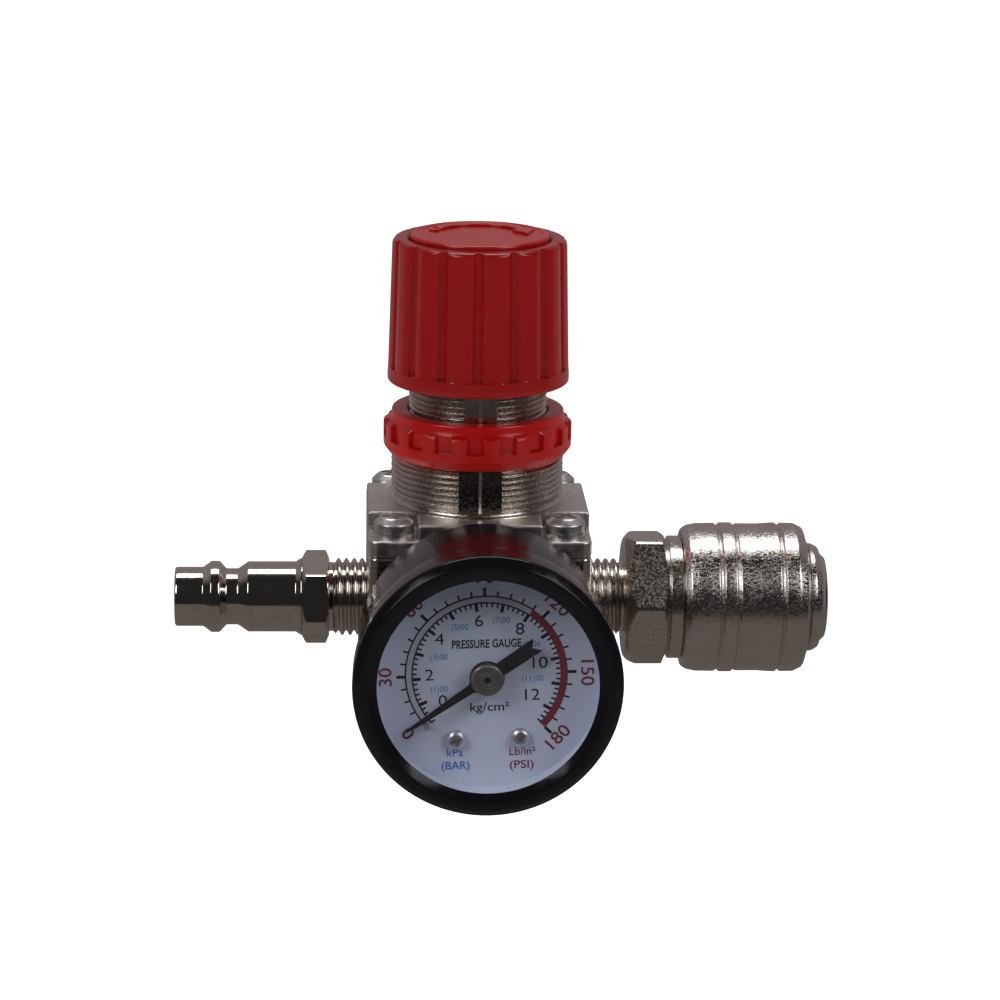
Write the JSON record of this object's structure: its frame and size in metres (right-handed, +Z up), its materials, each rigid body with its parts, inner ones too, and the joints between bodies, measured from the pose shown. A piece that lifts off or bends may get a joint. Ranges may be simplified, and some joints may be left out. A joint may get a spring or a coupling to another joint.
{
  "type": "air pressure regulator",
  "caption": "In-line air pressure regulator with a fluted red adjusting knob, lock ring, dial pressure gauge, male hose plug at the inlet and a quick coupler at the outlet.",
  "frame": {"origin": "where the air line's axis crosses the knob's axis, in the middle of the valve body", "axes": "+X along the air line towards the outlet coupler, -Y towards the gauge's dial, +Z up along the knob's axis"},
  "size_m": [0.1107, 0.0724, 0.084],
  "materials": {
    "nickel_casting": "nickel-plated zinc die casting, bright with a slight cast texture",
    "nickel_turned": "nickel-plated turned metal, bright with fine lathe lines",
    "zinc_fastener": "bright zinc-plated steel",
    "red_plastic": "glossy moulded red plastic",
    "black_enamel": "gloss black enamel on pressed steel",
    "clear_lens": "clear moulded lens",
    "dial_white": "white enamelled dial with a printed scale",
    "white_plastic": "white moulded plastic",
    "pointer_black": "satin black paint",
    "brass": "turned and stamped brass",
    "spring_steel": "drawn spring wire and hardened balls",
    "black_rubber": "nitrile rubber"
  },
  "bodies": {
    "housing": {"body": "nickel_casting", "bonnet": "nickel_casting", "bonnet_screws": "zinc_fastener", "spring_washers": "zinc_fastener", "diaphragm": "black_rubber", "range_spring": "spring_steel", "bottom_plug": "nickel_casting", "bottom_plug_oring": "black_rubber", "valve_spring": "spring_steel", "rear_port_plug": "zinc_fastener", "inlet_plug": "nickel_turned", "coupler_adapter": "nickel_casting", "coupler_barrel": "nickel_turned", "sleeve_stop": "nickel_turned", "sleeve_spring": "spring_steel", "coupler_valve_spring": "spring_steel", "socket_seal": "black_rubber", "gauge_case": "black_enamel", "gauge_bezel": "black_enamel", "gauge_lens": "clear_lens", "gauge_spacer": "white_plastic", "gauge_dial": "dial_white", "dial_screws": "zinc_fastener", "stop_pin": "zinc_fastener", "movement_front_plate": "brass", "movement_back_plate": "brass", "movement_pillars": "brass", "bourdon_tube": "brass", "tube_tip": "brass", "gauge_stem": "brass"},
    "screw_carriage": {"spring_button": "spring_steel"},
    "knob": {"knob": "red_plastic", "knob_cap": "red_plastic", "adjusting_screw": "brass"},
    "lock_ring": {"lock_ring": "red_plastic"},
    "valve": {"diaphragm_plate": "spring_steel", "relief_seat": "brass", "poppet": "brass", "poppet_seal": "black_rubber"},
    "sleeve": {"coupler_sleeve": "nickel_turned"},
    "ball_1": {"locking_ball_1": "spring_steel"},
    "ball_2": {"locking_ball_2": "spring_steel"},
    "ball_3": {"locking_ball_3": "spring_steel"},
    "ball_4": {"locking_ball_4": "spring_steel"},
    "check_valve": {"coupler_valve": "brass", "coupler_valve_seal": "black_rubber"},
    "sector": {"sector_gear": "brass"},
    "link": {"link": "brass"},
    "pointer": {"pointer": "pointer_black", "pointer_hub": "zinc_fastener", "pinion_arbor": "brass"}
  },
  "joints": [
    {"name": "screw_travel", "type": "slide", "parent": "housing", "child": "screw_carriage", "axis": [0, 0, 1], "range_m": [-0.0045, 0], "deforming": ["range_spring"]},
    {"name": "knob_turn", "type": "hinge", "parent": "screw_carriage", "child": "knob", "pos_m": [0, 0, 0.045], "axis": [0, 0, 1], "range_deg": [-1080.5, 0]},
    {"name": "ring_turn", "type": "hinge", "parent": "housing", "child": "lock_ring", "pos_m": [0, 0, 0.0295], "axis": [0, 0, 1], "range_deg": [-180, 180]},
    {"name": "valve_lift", "type": "slide", "parent": "housing", "child": "valve", "axis": [0, 0, -1], "range_m": [0, 0.0008], "stiffness_N_per_m": 800, "springref_m": -0.001, "deforming": ["valve_spring", "diaphragm"]},
    {"name": "sleeve_slide", "type": "slide", "parent": "housing", "child": "sleeve", "axis": [-1, 0, 0], "range_m": [0, 0.0025], "stiffness_N_per_m": 1500, "springref_m": -0.002},
    {"name": "check_valve_slide", "type": "slide", "parent": "housing", "child": "check_valve", "axis": [-1, 0, 0], "range_m": [0, 0.0035], "stiffness_N_per_m": 600, "springref_m": -0.002},
    {"name": "sector_turn", "type": "hinge", "parent": "housing", "child": "sector", "pos_m": [0, -0.04, -0.0118], "axis": [0, 1, 0], "range_deg": [-28.67, 0], "stiffness_Nm_per_rad": 0.01, "springref_deg": 2.86},
    {"name": "pointer_turn", "type": "hinge", "parent": "housing", "child": "pointer", "pos_m": [0, -0.045, 0.0007], "axis": [0, 1, 0], "range_deg": [0, 258.01]},
    {"name": "link_turn", "type": "hinge", "parent": "sector", "child": "link", "pos_m": [-0.003, -0.04, -0.0118], "axis": [0, 1, 0], "range_deg": [0, 28.68]},
    {"name": "ball_1_slide", "type": "slide", "parent": "housing", "child": "ball_1", "axis": [0, 0.7071, 0.7071], "range_m": [0, 0.00121]},
    {"name": "ball_2_slide", "type": "slide", "parent": "housing", "child": "ball_2", "axis": [0, -0.7071, 0.7071], "range_m": [0, 0.00121]},
    {"name": "ball_3_slide", "type": "slide", "parent": "housing", "child": "ball_3", "axis": [0, -0.7071, -0.7071], "range_m": [0, 0.00121]},
    {"name": "ball_4_slide", "type": "slide", "parent": "housing", "child": "ball_4", "axis": [0, 0.7071, -0.7071], "range_m": [0, 0.00121]}
  ],
  "couplings": [
    {"joint": "knob_turn", "follows": "screw_travel", "rad_per_m": 4188.8},
    {"joint": "pointer_turn", "follows": "sector_turn", "ratio": -9},
    {"joint": "link_turn", "follows": "sector_turn", "ratio": -1},
    {"joint": "ball_1_slide", "follows": "sleeve_slide", "ratio": 0.48},
    {"joint": "ball_2_slide", "follows": "sleeve_slide", "ratio": 0.48},
    {"joint": "ball_3_slide", "follows": "sleeve_slide", "ratio": 0.48},
    {"joint": "ball_4_slide", "follows": "sleeve_slide", "ratio": 0.48}
  ]
}
